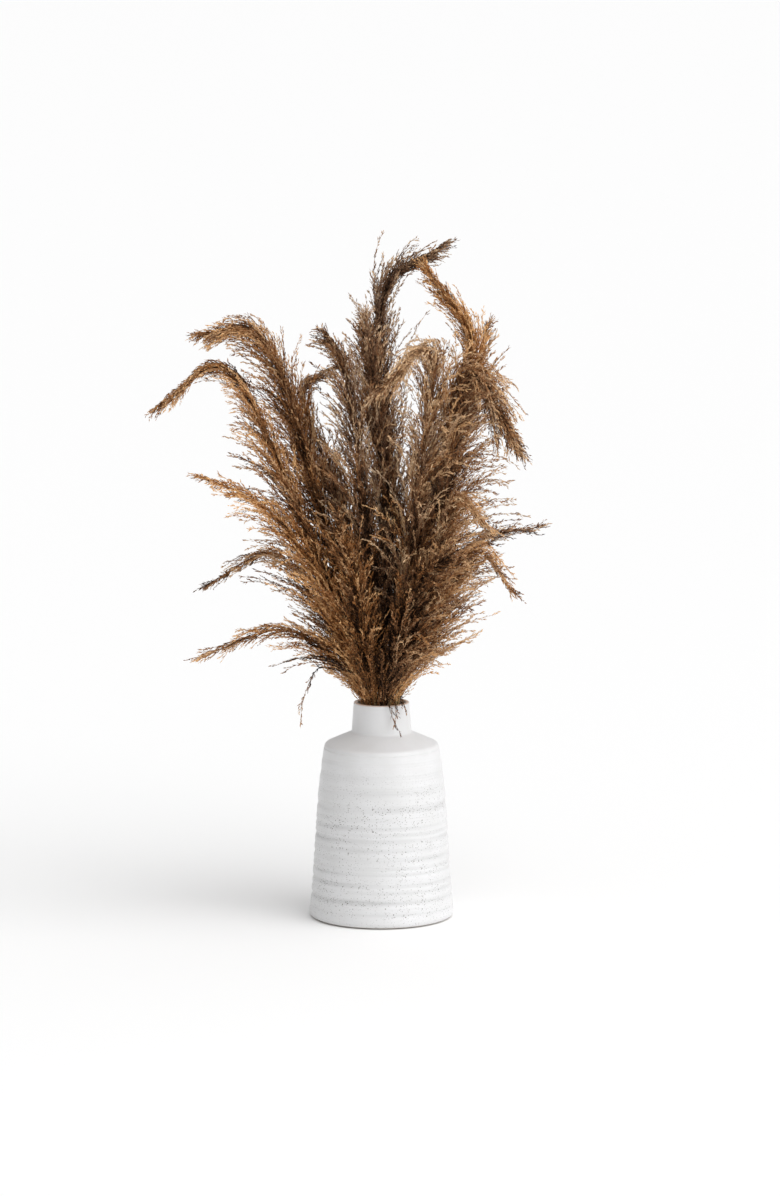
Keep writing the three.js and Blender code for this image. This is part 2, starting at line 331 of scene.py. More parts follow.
def turned(profile, turns, shape=None):
    """A closed surface of revolution: its points, in metres, and its faces.

    The profile runs from the axis to the axis. Each point is (radius * cosine, radius * sine,
    height) at evenly spaced angles; the two points on the axis are one corner each.
    """
    angle = np.arange(turns) * 2 * np.pi / turns
    radius = np.repeat(profile[1:-1, :1], turns, axis=1)
    height = np.repeat(profile[1:-1, 1:], turns, axis=1)
    angles = np.repeat(angle[None, :], len(radius), axis=0)
    if shape is not None:
        radius = radius + shape(radius, height, angles)
    grid = np.stack([radius * np.cos(angles), radius * np.sin(angles), height], axis=-1)
    points = np.vstack([grid.reshape(-1, 3), [[0, 0, profile[0, 1]], [0, 0, profile[-1, 1]]]])
    rows = len(radius)
    this = np.arange(turns)
    following = (this + 1) % turns
    row = np.arange(rows - 1)[:, None] * turns
    above = row + turns
    quads = np.stack([row + this, row + following, above + following, above + this], axis=-1)
    first = np.stack([np.full(turns, rows * turns), following, this], axis=-1)
    top = (rows - 1) * turns
    last = np.stack([np.full(turns, rows * turns + 1), top + this, top + following], axis=-1)
    return points * MM, [quads.reshape(-1, 4), first, last]


def thrown_shape(radius, height, angle):
    """The rings on the outside of the wall, and a slow wander off the true circle."""
    outside = radius > wall_radius(height) - 1
    wander = 0.25 * np.sin(2 * angle + 0.8 + height / 90) + 0.15 * np.sin(3 * angle + 2)
    dips = np.where(outside, -throwing_rings(height, angle), 0.0)
    return dips + wander * (radius > recess_radius + 1)


# Matt white glaze over iron-bearing clay: a soft satin surface, almost without mirror glints.
# Iron grains burn through it as grey-brown specks, most of them on the lower two thirds.
glaze = new_material("matt_white_glaze_on_speckled_stoneware")
glaze_place = add(glaze, "TexCoord").outputs["Object"]
glaze_height = add(glaze, "SeparateXYZ", {"Vector": glaze_place}).outputs["Z"]
drift = add(glaze, "TexNoise", {"Vector": glaze_place, "Scale": 28.0, "Detail": 3.0})
banded = add(glaze, "Mapping", {"Vector": glaze_place, "Scale": (6, 6, 110)})
bands = add(glaze, "TexNoise", {"Vector": banded, "Scale": 1.0, "Detail": 2.0})
groove = add(glaze, "Attribute", attribute_name="groove").outputs["Fac"]
lower_part = add(
    glaze,
    "MapRange",
    {"Value": glaze_height, "From Min": 0.220, "From Max": 0.165, "To Min": 0.05, "To Max": 1.0},
)
in_bands = add(glaze, "Math", {0: bands, 1: drift}, operation="MULTIPLY")
how_thick = add(glaze, "MapRange", {"Value": in_bands, "From Min": 0.12, "From Max": 0.28})
in_grooves = add(glaze, "Math", {0: groove, 1: 0.8, 2: 0.7}, operation="MULTIPLY_ADD")
in_places = add(glaze, "Math", {0: how_thick, 1: in_grooves}, operation="MULTIPLY")
speck_share = add(glaze, "Math", {0: in_places, 1: lower_part}, operation="MULTIPLY")
# The grains are 0.2 to 1 mm across in the clay; they are drawn at up to 2.4 mm so that they show.
specks = None
for spacing, size, strength in ((2.0, 1.6, 0.8), (5.5, 2.4, 1.0)):
    shifted = add(glaze, "Mapping", {"Vector": glaze_place, "Location": (spacing, size, 0.0)})
    cells = add(glaze, "TexVoronoi", {"Vector": shifted, "Scale": 1000 / spacing})
    chance = add(glaze, "SeparateColor", {"Color": cells.outputs["Color"]})
    size_here = add(glaze, "Math", {0: chance, 1: size / spacing / 2}, operation="MULTIPLY")
    inside = add(glaze, "Math", {0: size_here, 1: cells.outputs["Distance"]}, operation="SUBTRACT")
    soft = add(glaze, "Math", {0: inside, 1: 12 * strength}, operation="MULTIPLY", use_clamp=True)
    faded = add(glaze, "Math", {0: soft, 1: strength}, operation="MINIMUM")
    if specks is None:
        specks = faded
    else:
        specks = add(glaze, "Math", {0: specks, 1: faded}, operation="MAXIMUM")
speckle = add(glaze, "Math", {0: specks, 1: speck_share}, operation="MULTIPLY", use_clamp=True)
milky = add(glaze, "ValToRGB", {"Fac": drift}, stops=[(0.3, "#D8D8D8"), (0.7, "#DEDEDF")])
# Painted shade: the glaze is tinted grey in the ring grooves, where shade falls in the dips.
groove_shade_share = add(glaze, "Math", {0: groove, 1: 0.4}, operation="MULTIPLY")
groove_shaded = add(glaze, "Mix", {0: groove_shade_share, 6: milky, 7: "#BFBFBF"}, data_type="RGBA")
speckled = add(glaze, "Mix", {0: speckle, 6: groove_shaded.outputs[2], 7: "#5E564E"}, data_type="RGBA")
lip_line = add(
    glaze,
    "MapRange",
    {"Value": glaze_height, "From Min": 0.2915, "From Max": 0.2928, "To Max": 0.75},
)
lipped = add(glaze, "Mix", {0: lip_line, 6: speckled.outputs[2], 7: "#D9B596"}, data_type="RGBA")
foot_line = add(glaze, "MapRange", {"Value": glaze_height, "From Min": 0.0030, "From Max": 0.0018})
footed = add(glaze, "Mix", {0: foot_line, 6: lipped.outputs[2], 7: "#D2CBC2"}, data_type="RGBA")
grain = add(glaze, "TexNoise", {"Vector": glaze_place, "Scale": 900.0, "Detail": 2.0})
pits = add(glaze, "Bump", {"Strength": 0.12, "Distance": 0.0004, "Height": grain})
finish_material(
    glaze,
    add(
        glaze,
        "BsdfPrincipled",
        {"Base Color": footed.outputs[2], "Roughness": 0.36, "IOR": 1.5, "Normal": pits},
    ),
)

vase_points, vase_faces = turned(vase_profile(), 256, thrown_shape)
vase_radius = np.hypot(vase_points[:, 0], vase_points[:, 1]) / MM
vase_angle = np.arctan2(vase_points[:, 1], vase_points[:, 0])
vase_z = vase_points[:, 2] / MM
on_outside = vase_radius > wall_radius(vase_z) - wall / 2
dip_share = np.clip(throwing_rings(vase_z, vase_angle) / full_groove, 0, 1) * on_outside
vase = mesh_piece("thrown_vase", vase_points, vase_faces, glaze, attributes={"groove": dip_share})
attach(vase, "vase")
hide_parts("vase_body")

# ---------------------------------------------------------------------------
# Felt pad. A disc punched from pressed wool felt and glued into the recess under the foot, so the
# fired clay doesn't scratch the table. Its cut edge is square, a little fuzzy and rounded by use.
felt = new_material("pressed_grey_wool_felt")
felt_place = add(felt, "TexCoord").outputs["Object"]
fibres = add(
    felt, "TexNoise", {"Vector": felt_place, "Scale": 1400.0, "Detail": 4.0, "Distortion": 1.5}
)
felt_colour = add(felt, "ValToRGB", {"Fac": fibres}, stops=[(0.35, "#5F6B69"), (0.65, "#8C9492")])
felt_nap = add(felt, "Bump", {"Strength": 0.6, "Distance": 0.0005, "Height": fibres})
finish_material(
    felt,
    add(
        felt,
        "BsdfPrincipled",
        {"Base Color": felt_colour, "Roughness": 0.95, "Sheen Weight": 0.3, "Normal": felt_nap},
    ),
)

pad_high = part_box("felt_base_pad")[1]
pad_radius = pad_high.x / MM
pad_top = pad_high.z / MM
pad_profile = np.vstack(
    [
        [(0, 0), (pad_radius * 0.4, 0), (pad_radius * 0.8, 0)],
        bend((pad_radius - 0.5, 0), (pad_radius, 0), (pad_radius, 0.5), 5),
        bend((pad_radius, pad_top - 0.5), (pad_radius, pad_top), (pad_radius - 0.5, pad_top), 5),
        [(pad_radius * 0.8, pad_top), (pad_radius * 0.4, pad_top), (0, pad_top)],
    ]
)


def fuzzy_edge(radius, height, angle):
    """A cut edge that wavers by a tenth of a millimetre."""
    waver = 0.07 * np.sin(31 * angle) + 0.05 * np.sin(83 * angle + height * 3)
    return np.where(radius > pad_radius - 1, waver - 0.12, 0.0)


pad_points, pad_faces = turned(pad_profile, 256, fuzzy_edge)
pad = mesh_piece("felt_pad", pad_points, pad_faces, felt)
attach(pad, "vase")
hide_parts("felt_base_pad")

# ---------------------------------------------------------------------------
# Reed stems. Straw-coloured culms of a tall reed, cut to length, with a swollen node every hand's
# breadth; hollow in life, and drawn closed at both ends. They stand on the vase's floor, draw
# together at the twine and fan out above.
tie_low, tie_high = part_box("twine_tie")
tie_height = (tie_low.z + tie_high.z) / 2 / MM
stem_radius = 2.2
stem_pitch = 2 * stem_radius + 0.45
outer_at_rim = bore - 7.5 - stem_radius
foot_splay = 1.75
stem_foot = floor_top + 0.3

# name: ring, then [x, y, height above the rim] where the stem leans to, at the top of the arch
# and at the tip, and the plume's length
reeds = {
    "centre_right": ("centre", (8, 2, 272), (-16, 6, 452), (-20, 30, 513), 380),
    "back_tall": ("inner", (8, 58, 267), (6, 68, 545), (78, 60, 608), 370),
    "centre_left": ("inner", (-26, -26, 287), (-52, -30, 462), (-74, -40, 500), 400),
    "right_tall": ("inner", (62, -6, 267), (118, -2, 485), (62, 14, 578), 360),
    "right_back_tall": ("inner", (70, 66, 267), (122, 80, 412), (140, 72, 492), 330),
    "left_tall": ("inner", (-84, 12, 267), (-168, 16, 492), (-238, 8, 497), 420),
    "left_arch": ("inner", (-56, 62, 267), (-104, 72, 413), (-58, 84, 449), 330),
    "left_far": ("outer", (-106, -38, 252), (-212, -54, 458), (-294, -60, 407), 440),
    "right_khaki": ("outer", (46, -58, 267), (60, -78, 478), (-4, -100, 432), 400),
    "right_arch": ("outer", (80, -50, 252), (116, -64, 446), (180, -76, 352), 400),
    "right_middle": ("outer", (62, -88, 157), (100, -114, 290), (136, -128, 258), 330),
    "right_low": ("outer", (68, -22, 107), (128, -26, 207), (170, -36, 160), 300),
    "right_back_low": ("outer", (68, 58, 127), (134, 80, 207), (208, 92, 223), 300),
    "left_orange": ("outer", (-72, -60, 157), (-152, -80, 272), (-234, -90, 316), 340),
    "left_back_low": ("outer", (-74, 40, 107), (-146, 62, 191), (-236, 78, 147), 320),
    "left_low": ("outer", (-58, -24, 59), (-130, -36, 103), (-240, -46, 69), 290),
    "front_left": ("outer", (-24, -68, 97), (-42, -116, 207), (-54, -146, 259), 280),
    "front_right": ("outer", (24, -70, 92), (54, -128, 187), (86, -166, 217), 280),
    "back_left": ("outer", (-28, 72, 127), (-70, 130, 277), (-112, 172, 317), 360),
    "back_right": ("outer", (26, 76, 127), (58, 140, 247), (92, 184, 237), 340),
}


def on_ring(ring):
    """Angle of each stem of a ring: evenly shared, in the order that the stems lean, and turned
    to come as near as possible to the ways that they lean."""
    members = [name for name in reeds if reeds[name][0] == ring]
    leaning = {name: math.atan2(reeds[name][1][1], reeds[name][1][0]) for name in members}
    members.sort(key=leaning.get)
    step = 2 * math.pi / len(members)
    apart = [leaning[name] - i * step for i, name in enumerate(members)]
    turn = math.atan2(sum(map(math.sin, apart)), sum(map(math.cos, apart)))
    return {name: turn + i * step for i, name in enumerate(members)}


stem_angles = {**on_ring("centre"), **on_ring("inner"), **on_ring("outer")}
rings_taken = [ring for ring, *_ in reeds.values()]
inner_count, outer_count = rings_taken.count("inner"), rings_taken.count("outer")
inner_tied = max(stem_pitch, stem_pitch / (2 * math.sin(math.pi / inner_count)))
outer_tied = max(inner_tied + stem_pitch, stem_pitch / (2 * math.sin(math.pi / outer_count)))
ring_radii = {
    "centre": (0.0, 0.0),
    "inner": (inner_tied, outer_at_rim * 0.42),
    "outer": (outer_tied, outer_at_rim),
}


def smooth_line(places, per_span=80):
    """Centripetal Catmull-Rom curve through the places: between two of them a cubic whose end
    slopes come from the square roots of the distances to the places on either side."""
    p = np.array(places, float)
    p = np.vstack([2 * p[0] - p[1], p, 2 * p[-1] - p[-2]])
    gaps = np.sqrt(np.linalg.norm(np.diff(p, axis=0), axis=1))[:, None]
    before, across, after = gaps[:-2], gaps[1:-1], gaps[2:]
    a, b, c, d = p[:-3], p[1:-2], p[2:-1], p[3:]
    leaving = ((b - a) / before - (c - a) / (before + across) + (c - b) / across) * across
    arriving = ((c - b) / across - (d - b) / (across + after) + (d - c) / after) * across
    t = np.linspace(0, 1, per_span, endpoint=False)[None, :, None]
    b, c, leaving, arriving = (v[:, None, :] for v in (b, c, leaving, arriving))
    curve = b + leaving * t + (3 * (c - b) - 2 * leaving - arriving) * t**2
    curve = curve + (2 * (b - c) + leaving + arriving) * t**3
    return np.vstack([curve.reshape(-1, 3), p[-2]])


def walked_along(places):
    """Distance walked from the first place to each place."""
    return np.concatenate([[0], np.cumsum(np.linalg.norm(np.diff(places, axis=0), axis=1))])


def placed_at(distances, walked, places):
    """The places at distances along a line: the straight mix of the two places around each."""
    return np.stack([np.interp(distances, walked, places[:, i]) for i in range(3)], axis=-1)


def unit(vectors):
    """Each vector at length one."""
    return vectors / np.maximum(np.linalg.norm(vectors, axis=-1, keepdims=True), 1e-12)


class ReedLine:
    """The line that a reed grows along, from its cut end to its tip, measured in millimetres."""

    def __init__(self, name):
        ring, lean, crest, tip, head = reeds[name]
        tied, at_rim = ring_radii[ring]
        angle = stem_angles[name]
        ways = [
            (tied * foot_splay, stem_foot),
            (tied, tie_height),
            ((tied + at_rim) / 2, (tie_height + vase_height) / 2),
            (at_rim, vase_height),
        ]
        places = [(r * math.cos(angle), r * math.sin(angle), z) for r, z in ways]
        places += [(x, y, vase_height + z) for x, y, z in (lean, crest, tip)]
        rough = smooth_line(places)
        walked = walked_along(rough)
        self.length = walked[-1]
        self.steps = np.linspace(0, self.length, 400)
        self.places = placed_at(self.steps, walked, rough)
        self.ways = unit(np.gradient(self.places, axis=0))
        self.rim = self.steps[np.argmax(self.places[:, 2] >= vase_height + 8)]
        self.plume_start = max(self.length - head, self.rim)
        flat = np.array([crest[0], crest[1], 0.0])
        across = unit(np.cross([0, 0, 1], flat))
        self.sides = unit(across - np.sum(across * self.ways, axis=1)[:, None] * self.ways)

    def at(self, distance):
        """Place, direction, side and top vectors at distances from the foot; past the tip the
        line runs straight on."""
        d = np.clip(distance, 0, self.length)
        place, way, side = (
            placed_at(d, self.steps, v) for v in (self.places, self.ways, self.sides)
        )
        way = unit(way)
        side = unit(side - np.sum(side * way, axis=-1, keepdims=True) * way)
        place = place + way * np.maximum(distance - self.length, 0)[..., None]
        return place, way, side, np.cross(way, side)


def tubes(paths, radii, sides):
    """Closed tubes along many paths at once: points and faces.

    paths is (tubes, steps, 3) and radii (tubes, steps). Each ring of corners lies square to its
    path at that radius, and flat caps close both ends.
    """
    count, steps = radii.shape
    ways = unit(np.gradient(paths, axis=1))
    chord = unit(paths[:, -1] - paths[:, 0])
    helper = np.where(np.abs(chord[:, 2:]) > 0.8, [[1.0, 0, 0]], [[0, 0, 1.0]])
    first = unit(np.cross(chord, helper))[:, None, :]
    first = unit(first - np.sum(first * ways, axis=-1, keepdims=True) * ways)
    second = np.cross(ways, first)
    angle = (np.arange(sides) * 2 * np.pi / sides)[:, None]
    ring = first[:, :, None, :] * np.cos(angle) + second[:, :, None, :] * np.sin(angle)
    points = paths[:, :, None, :] + ring * radii[:, :, None, None]
    tube = np.arange(count)[:, None, None] * steps * sides
    step = np.arange(steps - 1)[None, :, None] * sides
    this = np.arange(sides)[None, None, :]
    following = (this + 1) % sides
    low = tube + step
    high = low + sides
    quads = np.stack([low + this, low + following, high + following, high + this], axis=-1)
    start_cap = tube[:, 0] + np.arange(sides)[::-1]
    end_cap = tube[:, 0] + (steps - 1) * sides + np.arange(sides)
    return points.reshape(-1, 3), [quads.reshape(-1, 4), start_cap, end_cap]


# Dried reed culm: a hard waxy straw skin with fine lengthwise fibres, darker and duller round
# each node. It has a slight satin shine along the stalk.
culm = new_material("dried_reed_culm")
culm_place = add(culm, "TexCoord").outputs["Object"]
stretched = add(culm, "Mapping", {"Vector": culm_place, "Scale": (900, 900, 25)})
streaks = add(culm, "TexNoise", {"Vector": stretched, "Scale": 1.0, "Detail": 3.0})
straw = add(culm, "ValToRGB", {"Fac": streaks}, stops=[(0.3, "#755B3B"), (0.7, "#BFA273")])
ringed = add(culm, "Attribute", attribute_name="node")
culm_colour = add(culm, "Mix", {0: ringed.outputs["Fac"], 6: straw, 7: "#5C452A"}, data_type="RGBA")
culm_fibres = add(culm, "Bump", {"Strength": 0.3, "Distance": 0.0003, "Height": streaks})
finish_material(
    culm,
    add(
        culm,
        "BsdfPrincipled",
        {"Base Color": culm_colour.outputs[2], "Roughness": 0.45, "Normal": culm_fibres},
    ),
)

lines = {name: ReedLine(name) for name in reeds}
stem_sides = 10


def make_stem(name, seed):
    """A culm from the vase's floor to the start of its plume: a tube that thins a little
    upwards and swells by a third of a millimetre at each node."""
    rng = np.random.default_rng(seed)
    line = lines[name]
    length = line.plume_start - 0.3
    node_places = np.arange(rng.uniform(30, 90), length, rng.uniform(95, 130))
    round_node = np.array([-3, -1.5, -0.7, 0, 0.7, 1.5, 3])
    steps = [np.linspace(0, length, 60)] + [n + round_node for n in node_places]
    steps = np.unique(np.concatenate(steps))
    steps = steps[(steps >= 0) & (steps <= length)]
    near = np.exp(-(((steps[:, None] - node_places) / 1.3) ** 2)).sum(axis=1)
    radius = stem_radius * (1 - 0.28 * steps / line.length) - 0.25 + 0.35 * near
    path = line.at(steps)[0]
    points, faces = tubes(path[None], radius[None], stem_sides)
    dark = np.exp(-(((steps[:, None] - node_places) / 2.2) ** 2)).sum(axis=1)
    rings_of_node = {"node": np.repeat(dark, stem_sides)}
    piece = mesh_piece(f"reed_stem_{name}", points * MM, faces, culm, attributes=rings_of_node)
    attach(piece, "bunch")
    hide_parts(f"stem_{name}")


for number, reed_name in enumerate(reeds):
    make_stem(reed_name, 100 + number)

# ---------------------------------------------------------------------------
# Reed plumes. The seed head on each culm: a thin axis with one to three hundred side branches that
# lie along it and nod over at the tip, short shoots on the branches, and chaffy brown husks on
# both. A plume grows in one piece with its culm.

# Dried reed chaff: papery husks that are dull and a little fluffy. Their tone carries painted
# shade, dark in the depth of the plume, and painted light on the outer and upper husks. Each tuft
# is a little lighter, darker, greyer or redder than the next.
chaff = new_material("dried_reed_chaff")
own_tone = add(chaff, "Attribute", attribute_name="tone").outputs["Fac"]
own_warmth = add(chaff, "Attribute", attribute_name="warmth").outputs["Fac"]
chaff_place = add(chaff, "TexCoord").outputs["Object"]
patches = add(chaff, "TexNoise", {"Vector": chaff_place, "Scale": 35.0, "Detail": 3.0})
patchy = add(chaff, "Math", {0: patches, 1: 0.5, 2: own_tone}, operation="MULTIPLY_ADD")
level = add(chaff, "Math", {0: patchy, 1: 0.25}, operation="SUBTRACT", use_clamp=True)
grey_brown = add(
    chaff, "ValToRGB", {"Fac": level}, stops=[(0.0, "#261810"), (0.5, "#86664F"), (1.0, "#D8BD9C")]
)
red_brown = add(
    chaff, "ValToRGB", {"Fac": level}, stops=[(0.0, "#301A09"), (0.5, "#A66E3C"), (1.0, "#E4B680")]
)
chaff_colour = add(chaff, "Mix", {0: own_warmth, 6: grey_brown, 7: red_brown}, data_type="RGBA")
finish_material(
    chaff,
    add(
        chaff,
        "BsdfPrincipled",
        {"Base Color": chaff_colour.outputs[2], "Roughness": 0.7, "Specular IOR Level": 0.15},
    ),
)

# name: warmth (0 grey to 1 red-brown, and above 1 for a plume with hardly a grey tuft in it), tone
# (0 dark to 1 light), number of tufts, longest branch in millimetres, angle that the branches open
# by in degrees, how closely they follow the bend of the axis (0 to 1), how strongly they nod, how
# far they sweep away from the middle of the bunch, how far the tufts gather towards the plume's
# foot (1 is evenly spread), and how pointed its tip is (0 to 1)
plume_looks = {
    "centre_right": (0.30, 0.36, 96, 165, 18, 0.80, 0.30, 0.05, 0.90, 0.1),
    "back_tall": (0.10, 0.34, 76, 190, 14, 0.50, 0.28, 0.08, 0.80, 0.6),
    "centre_left": (0.35, 0.38, 90, 165, 18, 0.70, 0.40, 0.05, 0.90, 0.2),
    "right_tall": (0.92, 0.48, 90, 145, 20, 0.80, 0.25, 0.00, 0.85, 0.6),
    "right_back_tall": (0.45, 0.40, 60, 160, 17, 0.80, 0.15, 0.25, 1.10, 0.6),
    "left_tall": (0.66, 0.38, 108, 185, 22, 0.70, 0.40, 0.10, 0.90, 0.3),
    "left_arch": (0.45, 0.42, 56, 160, 16, 0.80, 0.60, 0.00, 1.10, 0.7),
    "left_far": (0.85, 0.44, 80, 155, 15, 0.80, 0.45, 0.10, 1.05, 0.9),
    "right_khaki": (0.40, 0.60, 100, 160, 20, 0.70, 0.60, 0.00, 0.80, 0.3),
    "right_arch": (0.45, 0.40, 104, 185, 24, 0.65, 0.60, 0.30, 0.80, 0.2),
    "right_middle": (0.60, 0.52, 72, 165, 22, 0.80, 0.45, 0.40, 1.05, 0.7),
    "right_low": (0.60, 0.58, 46, 150, 20, 0.80, 0.30, 0.30, 1.30, 0.9),
    "right_back_low": (0.20, 0.26, 36, 150, 15, 0.80, 0.05, 0.20, 1.40, 1.0),
    "left_orange": (1.15, 0.56, 42, 150, 22, 0.80, 0.15, 0.25, 1.20, 1.0),
    "left_back_low": (0.45, 0.36, 34, 150, 19, 0.80, 0.30, 0.20, 1.50, 1.0),
    "left_low": (0.75, 0.44, 32, 120, 20, 0.80, 0.20, 0.20, 1.80, 1.0),
    # front_left and front_right have dark tones as painted shade, for the shadowed hollow in the
    # middle of the bunch
    "front_left": (0.85, 0.26, 72, 130, 26, 0.80, 0.15, 0.00, 0.95, 0.8),
    "front_right": (0.60, 0.08, 76, 130, 26, 0.80, 0.15, 0.00, 0.95, 0.8),
    "back_left": (0.60, 0.10, 60, 180, 26, 0.80, 0.20, 0.00, 1.00, 0.6),
    "back_right": (0.60, 0.10, 60, 180, 26, 0.80, 0.20, 0.00, 1.00, 0.6),
}
branches_to_tuft = 3
branch_steps = 11
shoot_steps = 3
# lengths in millimetres, from here to lower_tufts
shoot_pitch = 12.0
longest_shoot = 26.0
shortest_branch = 14
husks_apart_on_branch = 4.6
husks_apart_on_shoot = 3.0
past_tip = 6.0
# how far below the rim, and below the foot of its plume, a tuft may grow
skirt = 34.0
lower_tufts = 120.0
golden_angle = 2.39996
# painted shade along each branch: how much lighter a branch is at its tip, out in the light, than
# # at its foot deep in the plume, and where it has its tuft's own tone
painted_shade_along_branch = 0.65
own_tone_at = 0.55
room = [0.03 * (high - low) / MM + 6 for low, high in zip(*cad_box)]
lowest_reach = [low / MM - more for low, more in zip(cad_box[0], room)]
highest_reach = [high / MM + more for high, more in zip(cad_box[1], room)]


def branch_paths(line, tufts, longest, opening, follow, nod, sweep, gather, taper, rng):
    """Paths of a plume's side branches, (branches, steps, 3), in millimetres.

    A branch's direction starts as the axis's own, opened outwards by an angle, follows part of
    the axis's bend, sweeps away from the middle of the bunch and sinks towards the ground along
    its length; the path is the running sum of its directions. Branches grow in tufts, and the
    tufts stand round the axis at the golden angle. Near the rim they open only half as far. A
    branch that would leave the space round the bunch is made shorter. Also returns the length
    and the tuft of each branch.
    """
    first = max(line.rim - skirt, line.plume_start - lower_tufts)
    head = line.length - first
    tuft = np.repeat(np.arange(tufts), branches_to_tuft)
    count = len(tuft)
    share = ((tuft + rng.uniform(0, 1, count)) / tufts) ** gather
    turn = tuft * golden_angle + rng.normal(0, 0.3, count)
    tuft_reach = rng.uniform(0.75, 1.1, tufts)[tuft]
    reach = longest * (1 - 0.55 * share**1.3) * tuft_reach * rng.uniform(0.75, 1.1, count)
    short_of_end = (16 + 90 * taper) * rng.uniform(0, 1, count) ** 1.2
    room_left = head * (1 - share) + past_tip - short_of_end
    reach = np.minimum(reach, np.maximum(room_left, shortest_branch))
    stray = rng.uniform(0, 1, count) < 0.08
    angle = np.radians(opening * (1.15 - 0.25 * share - 0.6 * taper * share))
    angle = angle * rng.uniform(0.4, 1.4, count)
    freed = 0.5 + 0.5 * np.clip((first + share * head - line.rim) / 110, 0, 1)
    angle = (np.where(stray, angle * 1.7, angle) * freed)[:, None]
    sink = nod * rng.uniform(0.6, 1.3, (count, 1)) * longest / 120
    wave_turn = rng.uniform(0, 2 * np.pi, (2, count, 1))
    wave_count = rng.uniform(0.6, 1.8, (2, count, 1))
    wave_size = rng.uniform(0.03, 0.16, (2, count, 1))
    u = (np.arange(branch_steps - 1) + 0.5) / (branch_steps - 1)
    start = first + share * head
    place, way, side, top = line.at(start)
    outward = side * np.cos(turn)[:, None] + top * np.sin(turn)[:, None]
    away = unit(place * [1, 1, 0])[:, None] * sweep
    for _ in range(8):
        ahead = start[:, None] + follow * reach[:, None] * u
        bent = line.at(ahead)[1]
        opened = angle * (0.55 + 0.8 * u)
        direction = bent * np.cos(opened)[..., None] + outward[:, None] * np.sin(opened)[..., None]
        direction = direction + away * u[:, None]
        direction[..., 2] -= sink * u**1.4
        waves = np.sin(2 * np.pi * wave_count * u + wave_turn) * wave_size
        for wave, sideways in zip(waves, (side, top)):
            direction = direction + sideways[:, None] * wave[..., None]
        strides = unit(direction) * (reach / (branch_steps - 1))[:, None, None]
        walk = np.concatenate([np.zeros((count, 1, 3)), np.cumsum(strides, axis=1)], axis=1)
        path = place[:, None] + walk
        too_far = np.any((path < lowest_reach) | (path > highest_reach), axis=(1, 2))
        reach = np.where(too_far, reach * 0.85, reach)
    return path, reach, tuft


def clear_of_vase(path):
    """Keeps branches out of the clay: inside the bore up to the rim, above the rim beyond it."""
    radius = np.hypot(path[..., 0], path[..., 1])
    in_bore = (path[..., 2] < vase_height + 1) & (radius < neck_radius)
    shrink = np.where(in_bore, np.minimum(1, (bore - 2.5) / np.maximum(radius, 1e-6)), 1)
    path = path * np.stack([shrink, shrink, np.ones_like(shrink)], axis=-1)
    over_neck = ~in_bore & (radius < neck_radius + 7) & (path[..., 2] < vase_height + 3)
    path[..., 2] = np.where(over_neck, vase_height + 3, path[..., 2])
    return path


def along(path, owner, share):
    """Places and directions at shares of the way along the owners' paths. Between two steps the
    place is the straight mix of both, and past the end the last stride runs straight on."""
    cell = share * (path.shape[1] - 1)
    before = np.clip(cell.astype(int), 0, path.shape[1] - 2)
    part = (cell - before)[..., None]
    start, end = path[owner, before], path[owner, before + 1]
    return start * (1 - part) + end * part, unit(end - start)


def shoots(path, reach, rng):
    """Short shoots off the branches: their paths, lengths, branches and shares of the way along.

    A shoot follows the course of its branch from where it leaves it and drifts sideways by its
    length times the sine of its angle. One that would leave the space round the bunch is drawn
    back to a third of its length.
    """
    many = np.maximum((reach / shoot_pitch).astype(int), 3)
    owner = np.repeat(np.arange(len(reach)), many)
    spread = [(np.arange(n) + rng.uniform(0.1, 0.9, n)) / n for n in many]
    leaves = 0.1 + 0.88 * np.concatenate(spread)
    length = rng.uniform(0.45, 1.1, len(owner)) * longest_shoot * (1.15 - 0.85 * leaves)
    t = np.linspace(0, 1, shoot_steps)
    shares = leaves[:, None] + (length / reach[owner])[:, None] * t
    course, way = along(path, owner[:, None], shares)
    side = unit(np.cross(way[:, 0], rng.normal(0, 1, (len(owner), 3))))
    drift = length * np.sin(np.radians(rng.uniform(10, 34, len(owner))))
    course = course + side[:, None] * drift[:, None, None] * (t - 0.25 * t**2)[:, None]
    too_far = np.any((course < lowest_reach) | (course > highest_reach), axis=(1, 2))
    back = np.where(too_far, 0.33, 1.0)[:, None, None]
    course = course[:, :1] + (course - course[:, :1]) * back
    return course, length * back[:, 0, 0], owner, leaves


def spikelets(path, reach, apart, rng):
    """Husks along paths: slim closed four-cornered shapes, each a keel from its foot to its
    point with a wing to either side, leaning forward off the path. Returns their points, their
    faces, and each one's path and its share of the way along it."""
    many = np.maximum((reach / apart).astype(int), 3)
    owner = np.repeat(np.arange(len(reach)), many)
    share = np.concatenate([(np.arange(n) + 0.5) / n for n in many])
    u = np.clip(0.05 + 0.95 * share + rng.normal(0, 0.01, len(owner)), 0, 0.999)
    start, way = along(path, owner, u)
    side = unit(np.cross(way, rng.normal(0, 1, (len(owner), 3))))
    lean = np.radians(rng.uniform(6, 34, len(owner)))[:, None]
    keel = way * np.cos(lean) + side * np.sin(lean)
    across = np.cross(keel, unit(np.cross(way, side)))
    spun = rng.uniform(0, 2 * np.pi, (len(owner), 1))
    wing = unit(across * np.cos(spun) + np.cross(keel, across) * np.sin(spun))
    lift = np.cross(keel, wing)
    length = (rng.uniform(4.0, 7.5, len(owner)) * (1.1 - 0.3 * u))[:, None]
    width = (rng.uniform(0.6, 1.2, len(owner)) * (1.1 - 0.3 * u))[:, None]
    middle = start + keel * length * 0.4 + lift * width * 0.7
    right, left = middle + wing * width, middle - wing * width
    corners = np.stack([start, right, left, start + keel * length], axis=1)
    pattern = np.array([[0, 2, 1], [0, 1, 3], [1, 2, 3], [0, 3, 2]])
    faces = (np.arange(len(owner)) * 4)[:, None, None] + pattern
    return corners.reshape(-1, 3), faces.reshape(-1, 3), owner, u


